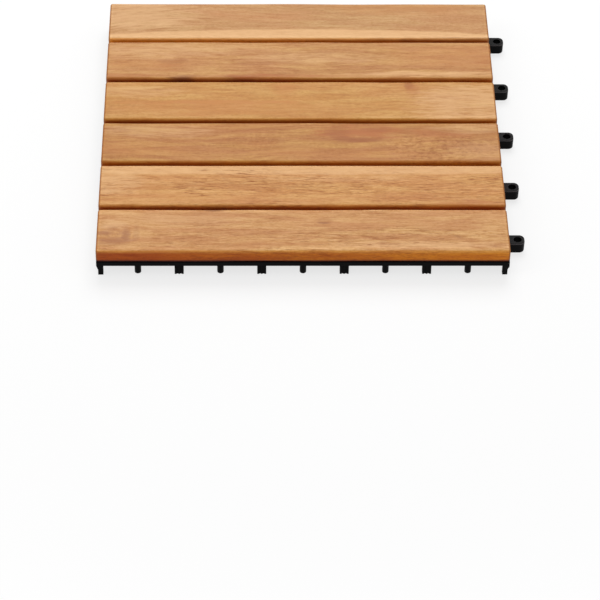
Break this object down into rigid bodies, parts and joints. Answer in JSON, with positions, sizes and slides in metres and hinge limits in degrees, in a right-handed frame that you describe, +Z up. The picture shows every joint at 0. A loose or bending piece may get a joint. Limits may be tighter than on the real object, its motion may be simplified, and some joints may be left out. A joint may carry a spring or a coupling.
{
  "type": "interlocking deck tile",
  "caption": "Square decking tile of parallel hardwood slats on a black moulded grid, with coupling loops on two sides and pins under the other two.",
  "frame": {"origin": "middle of the whole footprint, loops included, on the floor", "axes": "+X along the slats towards one row of loops, +Y towards the other row of loops, +Z up"},
  "size_m": [0.313, 0.313, 0.024],
  "materials": {
    "oiled_wood": "oiled acacia, honey tan with darker grain, satin",
    "black_plastic": "moulded black plastic, fine satin",
    "screw_steel": "zinc-plated wood screws"
  },
  "bodies": {
    "root": {"base_grid": "black_plastic", "slat_1": "oiled_wood", "slat_2": "oiled_wood", "slat_3": "oiled_wood", "slat_4": "oiled_wood", "slat_5": "oiled_wood", "slat_6": "oiled_wood", "deck_screws": "screw_steel"}
  },
  "joints": []
}
